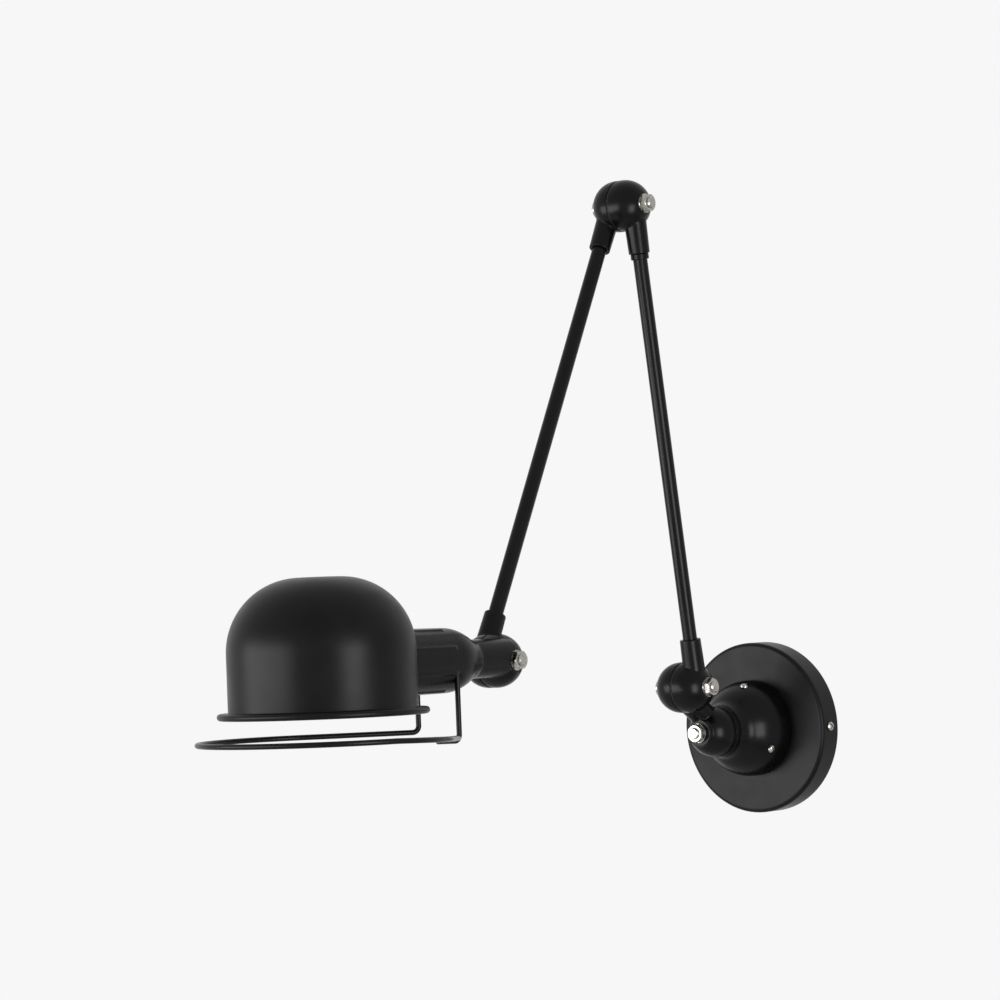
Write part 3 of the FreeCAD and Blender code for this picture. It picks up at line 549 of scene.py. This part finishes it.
# Spun steel in black enamel: satin, over the shallow unevenness of hand spinning.
shade_paint = surface("satin_black_enamel_on_spun_shade", ("#050505", "#090909"), patch_mm=18,
                      roughness=(0.33, 0.39), waves=[(1.0, 0.008), (14, 0.03)],
                      IOR=1.5, Specular_IOR_Level=0.12)

# White reflector enamel: warm white, glossy, slightly creamy from the bulb's heat.
reflector = surface("white_reflector_enamel", ("#EBE7DC", "#EFEBE2"), patch_mm=22, roughness=(0.22, 0.32),
                    waves=[(1.2, 0.01)], IOR=1.5)


def spun_shade():
    """Tree: sheet shade turned about Z from a filleted outline, with its inside finished apart."""
    tree = bpy.data.node_groups.new("spun_shade", "GeometryNodeTree")
    for name in ("Radius", "Top", "Bend", "Foot", "Wall", "Rim Radius", "Rim Height"):
        tree.interface.new_socket(name=name, in_out="INPUT", socket_type="NodeSocketFloat")
    for name in ("Outside", "Inside"):
        tree.interface.new_socket(name=name, in_out="INPUT", socket_type="NodeSocketMaterial")
    tree.interface.new_socket(name="Geometry", in_out="OUTPUT", socket_type="NodeSocketGeometry")
    given = add(tree, "NodeGroupInput").outputs

    # The outline's heights, from crown to rim, and its radii, as steps from the outer wall.
    inner_top = add(tree, "ShaderNodeMath", {0: given["Top"], 1: given["Wall"]}, operation="SUBTRACT")
    rim_top = add(tree, "ShaderNodeMath", {0: given["Foot"], 1: given["Rim Height"]}, operation="ADD")
    inner_bend = add(tree, "ShaderNodeMath", {0: given["Bend"], 1: given["Wall"]}, operation="SUBTRACT")
    to_axis = add(tree, "ShaderNodeMath", {0: given["Radius"], 1: -1.0}, operation="MULTIPLY")
    to_inside = add(tree, "ShaderNodeMath", {0: given["Wall"], 1: -1.0}, operation="MULTIPLY")
    to_rim = add(tree, "ShaderNodeMath", {0: given["Rim Radius"], 1: given["Radius"]}, operation="SUBTRACT")
    roll = add(tree, "ShaderNodeMath", {0: given["Rim Height"], 1: 0.49}, operation="MULTIPLY")
    corners = ((to_axis.outputs[0], given["Top"], 0.0, 1),
               (0.0, given["Top"], given["Bend"], 40),
               (0.0, rim_top.outputs[0], 0.5 * MM, 4),
               (to_rim.outputs[0], rim_top.outputs[0], roll.outputs[0], 10),
               (to_rim.outputs[0], given["Foot"], roll.outputs[0], 10),
               (to_inside.outputs[0], given["Foot"], 0.5 * MM, 4),
               (to_inside.outputs[0], inner_top.outputs[0], inner_bend.outputs[0], 40),
               (to_axis.outputs[0], inner_top.outputs[0], 0.0, 1))
    index = add(tree, "GeometryNodeInputIndex").outputs[0]
    place = add(tree, "GeometryNodeIndexSwitch", {"Index": index}, data_type="VECTOR")
    bend = add(tree, "GeometryNodeIndexSwitch", {"Index": index}, data_type="FLOAT")
    steps = add(tree, "GeometryNodeIndexSwitch", {"Index": index}, data_type="INT")
    for switch in (place, bend, steps):
        while len(switch.index_switch_items) < len(corners):
            switch.index_switch_items.new()
    for number, (out, height, radius, count) in enumerate(corners):
        # A swept outline's second axis points down.
        down = add(tree, "ShaderNodeMath", {0: height, 1: -1.0}, operation="MULTIPLY")
        spot = add(tree, "ShaderNodeCombineXYZ", {"X": out, "Y": down.outputs[0]})
        tree.links.new(spot.outputs[0], place.inputs[number + 1])
        steps.inputs[number + 1].default_value = count
        if isinstance(radius, float):
            bend.inputs[number + 1].default_value = radius
        else:
            tree.links.new(radius, bend.inputs[number + 1])
    chain = add(tree, "GeometryNodeMeshLine", {"Count": len(corners)})
    drawn = add(tree, "GeometryNodeSetPosition", {
        "Geometry": chain.outputs[0], "Position": place.outputs[0]})
    line = add(tree, "GeometryNodeMeshToCurve", {"Mesh": drawn.outputs[0]})
    outline = add(tree, "GeometryNodeFilletCurve", {
        "Curve": line.outputs[0], "Count": steps.outputs[0], "Radius": bend.outputs[0],
        "Limit Radius": True}, mode="POLY")

    # The outline is carried round a circle, and closes at the crown's middle.
    circle = add(tree, "GeometryNodeCurvePrimitiveCircle", {"Resolution": 192, "Radius": given["Radius"]})
    swept = add(tree, "GeometryNodeCurveToMesh", {
        "Curve": circle.outputs[0], "Profile Curve": outline.outputs[0]})
    closed = add(tree, "GeometryNodeMergeByDistance", {"Geometry": swept.outputs[0], "Distance": 0.002 * MM})
    whole = add(tree, "GeometryNodeRealizeInstances", {0: closed.outputs[0]})
    black = add(tree, "GeometryNodeSetMaterial", {
        "Geometry": whole.outputs[0], "Material": given["Outside"]})

    # Inside are the faces within the wall's middle that look towards the shade's own middle.
    point = add(tree, "GeometryNodeInputPosition").outputs[0]
    normal = add(tree, "GeometryNodeInputNormal").outputs[0]
    away = add(tree, "ShaderNodeVectorMath", {0: point, 1: normal}, operation="DOT_PRODUCT").outputs["Value"]
    inward = add(tree, "ShaderNodeMath", {0: away, 1: 0.0}, operation="LESS_THAN")
    level = add(tree, "ShaderNodeVectorMath", {0: point, 1: (1, 1, 0)}, operation="MULTIPLY").outputs[0]
    out = add(tree, "ShaderNodeVectorMath", {0: level}, operation="LENGTH").outputs["Value"]
    within = add(tree, "ShaderNodeMath", {0: out, 1: given["Radius"]}, operation="LESS_THAN")
    inside = add(tree, "ShaderNodeMath", {0: inward.outputs[0], 1: within.outputs[0]}, operation="MULTIPLY")
    lined = add(tree, "GeometryNodeSetMaterial", {
        "Geometry": black.outputs[0], "Selection": inside.outputs[0], "Material": given["Inside"]})
    add(tree, "NodeGroupOutput", {0: lined.outputs[0]})
    return tree


shade_mesh = grown(spun_shade(), "spun_shade", Radius=shade_r * MM, Top=shade_top * MM, Bend=shade_bend * MM,
                   Foot=shade_foot * MM, Wall=shade_wall * MM, Rim_Radius=rim_r * MM,
                   Rim_Height=2 * rim_half * MM, Outside=shade_paint, Inside=reflector)
shade_mesh.transform(Matrix.Translation(in_head(head_x, shade_reach, 0) * MM) @ head_turn)
shade = show("shade_spinning", shade_mesh, None, "head", "shade")


# ---- Lamp holder and clamp ring ------------------------------------------------------
# A cup-shaped holder stands through the shade's side wall, and a ring inside draws the
# shade against the housing. The holder's screw shell is thin brass.

# Porcelain: white, hard and glossy under a clear glaze.
porcelain = surface("glazed_porcelain", ("#E6E1D6", "#EFEBE2"), patch_mm=4, roughness=(0.12, 0.2),
                    waves=[(3, 0.01)], IOR=1.5)
dress(porcelain, "lamp_holder")
dress(enamel, "shade_clamp_ring")
dress(brass, "holder_shell", "bulb_cap")


# ---- Bulb ----------------------------------------------------------------------------
# A round bulb blown from opal-coated glass, sealed into the screw cap by its short neck.

# Opal coating: milky white under clear glass, even and very smooth.
opal = surface("opal_coated_glass", ("#EFE9DC", "#F4F0E6"), patch_mm=8, roughness=(0.08, 0.14), IOR=1.5)

globe_r = 22.5
holder_front = 131.0
globe_neck = 12.0
neck_l = 4.0
neck_flare = 0.12           # the globe's arc stops this angle short of the neck
globe_meet = sqrt(globe_r ** 2 - globe_neck ** 2)
globe_reach = holder_front + neck_l + globe_meet
blown = arc_points((globe_reach, 0), globe_r, 0, pi - atan2(globe_neck, globe_meet) - neck_flare, 40)
blown[0] = (globe_reach + globe_r, 0)
blown += [(globe_reach - globe_meet - 0.9, globe_neck + 0.25), (holder_front + 0.2, globe_neck),
          (holder_front, 0)]
globe = spin(blown, in_head(head_x, 0, head_rise), head_out, 64)
show("blown_globe", globe, opal, "head", "bulb_glass")


# ---- Handle --------------------------------------------------------------------------
# Bent from 3.4 mm steel wire: a teardrop ring under the shade whose far end turns up into
# a leg, while the near leg turns out into a short foot that is brazed under the ring.

wire_r = 1.7
ring_r = 76.6
drop = -42.6
near_drop = -46.4
foot_drop = -48.3
foot_length = 20.5
foot_rise = 0.5
foot_tip = 1.5
ring_end_aside = 0.6        # the ring's near end lies beside and ahead of its leg
ring_end_ahead = 1.6
dip = 1.9
dip_turn = radians(50)
leg_x = 16.8
leg_reach = 66.2
leg_top = -7.0
corner = 4.0
back = shade_reach - leg_reach
spread = atan2(leg_x, back) + acos(ring_r / sqrt(leg_x ** 2 + back ** 2))


def bent_wire():
    """Tree: round wire along a path of edges, bent to one radius at its corners."""
    tree = bpy.data.node_groups.new("bent_wire", "GeometryNodeTree")
    tree.interface.new_socket(name="Geometry", in_out="INPUT", socket_type="NodeSocketGeometry")
    for name in ("Wire Radius", "Bend Radius"):
        tree.interface.new_socket(name=name, in_out="INPUT", socket_type="NodeSocketFloat")
    tree.interface.new_socket(name="Finish", in_out="INPUT", socket_type="NodeSocketMaterial")
    tree.interface.new_socket(name="Geometry", in_out="OUTPUT", socket_type="NodeSocketGeometry")
    given = add(tree, "NodeGroupInput").outputs
    line = add(tree, "GeometryNodeMeshToCurve", {"Mesh": given["Geometry"]})
    bent = add(tree, "GeometryNodeFilletCurve", {
        "Curve": line.outputs[0], "Count": 6, "Radius": given["Bend Radius"],
        "Limit Radius": True}, mode="POLY")
    section = add(tree, "GeometryNodeCurvePrimitiveCircle", {
        "Resolution": 24, "Radius": given["Wire Radius"]})
    drawn = add(tree, "GeometryNodeCurveToMesh", {
        "Curve": bent.outputs[0], "Profile Curve": section.outputs[0], "Fill Caps": True})
    whole = add(tree, "GeometryNodeRealizeInstances", {0: drawn.outputs[0]})
    dressed = add(tree, "GeometryNodeSetMaterial", {
        "Geometry": whole.outputs[0], "Material": given["Finish"]})
    add(tree, "NodeGroupOutput", {0: dressed.outputs[0]})
    return tree


near_foot = Vector((leg_x, leg_reach, foot_drop))
paths = [[Vector((leg_x, leg_reach, leg_top)), near_foot,
          near_foot + Vector((0, foot_length - foot_tip, foot_rise)),
          near_foot + Vector((0, foot_length, foot_rise))],
         [Vector((leg_x + ring_end_aside, leg_reach + ring_end_ahead, near_drop))]]
turns = 96
for step in range(turns + 1):
    angle = spread + (2 * pi - 2 * spread) * step / turns
    level = drop - dip * max(0.0, 1 - (angle - spread) / dip_turn)
    paths[1].append(Vector((ring_r * sin(angle), shade_reach - ring_r * cos(angle), level)))
paths[1] += [Vector((-leg_x, leg_reach, drop)), Vector((-leg_x, leg_reach, leg_top))]
spots = []
links = []
for path in paths:
    links += [(len(spots) + i, len(spots) + i + 1) for i in range(len(path) - 1)]
    spots += [in_head(head_x + x, out, rise) * MM for x, out, rise in path]
route = bpy.data.meshes.new("route")
route.from_pydata(spots, links, [])
wire = grown(bent_wire(), "bent_wire", route, Wire_Radius=wire_r * MM, Bend_Radius=corner * MM,
             Finish=tube_enamel)
show("handle_wire_form", wire, None, "head", "handle", edge=60)


# ---- Studio --------------------------------------------------------------------------
# A plain pale floor, lower than the lamp can reach, two soft lamps beside it, and the camera
# of the photograph.

backdrop = "#F7F7F7"
floor_paint = surface("pale_studio_floor", (backdrop, backdrop), patch_mm=300, roughness=(0.85, 0.95))
floor_mesh = bpy.data.meshes.new("floor")
floor_r = 1.6
floor_place = Vector((0, -0.2, -1.05))
disc = bmesh.new()
bmesh.ops.create_circle(disc, cap_ends=True, segments=96, radius=floor_r)
for vert in disc.verts:
    vert.co += floor_place
disc.to_mesh(floor_mesh)
disc.free()
floor_mesh.materials.append(floor_paint)
floor = bpy.data.objects.new("floor", floor_mesh)
bpy.context.scene.collection.objects.link(floor)

# From underneath the floor is clear, so that the reflector and the bulb can be seen.
tree = floor_paint.node_tree
from_below = add(tree, "ShaderNodeNewGeometry").outputs["Backfacing"]
paint = tree.nodes["Principled BSDF"].outputs[0]
clear = add(tree, "ShaderNodeBsdfTransparent").outputs[0]
two_sided = add(tree, "ShaderNodeMixShader", {0: from_below, 1: paint, 2: clear})
tree.links.new(two_sided.outputs[0], tree.nodes["Material Output"].inputs["Surface"])

world = bpy.data.worlds.new("studio")
bpy.context.scene.world = world
world.use_nodes = True
tree = world.node_tree
ray = add(tree, "ShaderNodeLightPath").outputs
direct = add(tree, "ShaderNodeMath", {0: ray["Is Camera Ray"], 1: ray["Is Glossy Ray"]}, operation="MAXIMUM")
seen = add(tree, "ShaderNodeMath", {0: direct.outputs[0], 1: ray["Is Transmission Ray"]},
           operation="MAXIMUM")
sky_light = 0.4
strength = add(tree, "ShaderNodeMapRange", {"Value": seen.outputs[0], "To Min": sky_light, "To Max": 1.0})
sky = tree.nodes["Background"]
sky.inputs["Color"].default_value = colour(backdrop)
tree.links.new(strength.outputs[0], sky.inputs["Strength"])


def softbox(name, azimuth, distance, height, width, tall, power):
    """Upright soft lamp about the lamp's middle, azimuth in degrees from -Y towards +X."""
    middle = Vector((0, -0.2, height))
    turn = radians(azimuth)
    place = middle + Vector((sin(turn), -cos(turn), 0)) * distance
    lamp = bpy.data.lights.new(name, "AREA")
    lamp.shape = "RECTANGLE"
    lamp.size = width
    lamp.size_y = tall
    lamp.energy = power
    holder = bpy.data.objects.new(name, lamp)
    bpy.context.scene.collection.objects.link(holder)
    facing = (middle - place).to_track_quat("-Z", "Y").to_matrix().to_4x4()
    holder.matrix_world = Matrix.Translation(place) @ facing
    holder.visible_camera = False


softbox("wide_softbox", azimuth=-24, distance=1.9, height=-0.01, width=2.1, tall=0.82, power=38)
softbox("narrow_softbox", azimuth=68, distance=1.1, height=-0.06, width=0.46, tall=0.66, power=9)

# The camera stands as far off as the photograph shows the lamp: it is carried round towards
# +X, looks a little upwards and leans a little to one side.
camera_place = Vector((1443.97, -1998.40, 101.99)) * MM
camera_round = radians(40.095)
camera_pitch = radians(1.560)
camera_lean = radians(-2.619)
focal_px = 3464.33
image_px = 1000
camera_data = bpy.data.cameras.new("camera")
camera_data.sensor_width = 36.0
camera_data.lens = camera_data.sensor_width * focal_px / image_px
camera = bpy.data.objects.new("camera", camera_data)
camera.matrix_world = (
    Matrix.Translation(camera_place) @ Matrix.Rotation(camera_round, 4, "Z")
    @ Matrix.Rotation(pi / 2 + camera_pitch, 4, "X") @ Matrix.Rotation(camera_lean, 4, "Z"))
bpy.context.scene.collection.objects.link(camera)
bpy.context.scene.camera = camera
bpy.context.scene.view_settings.view_transform = "Standard"
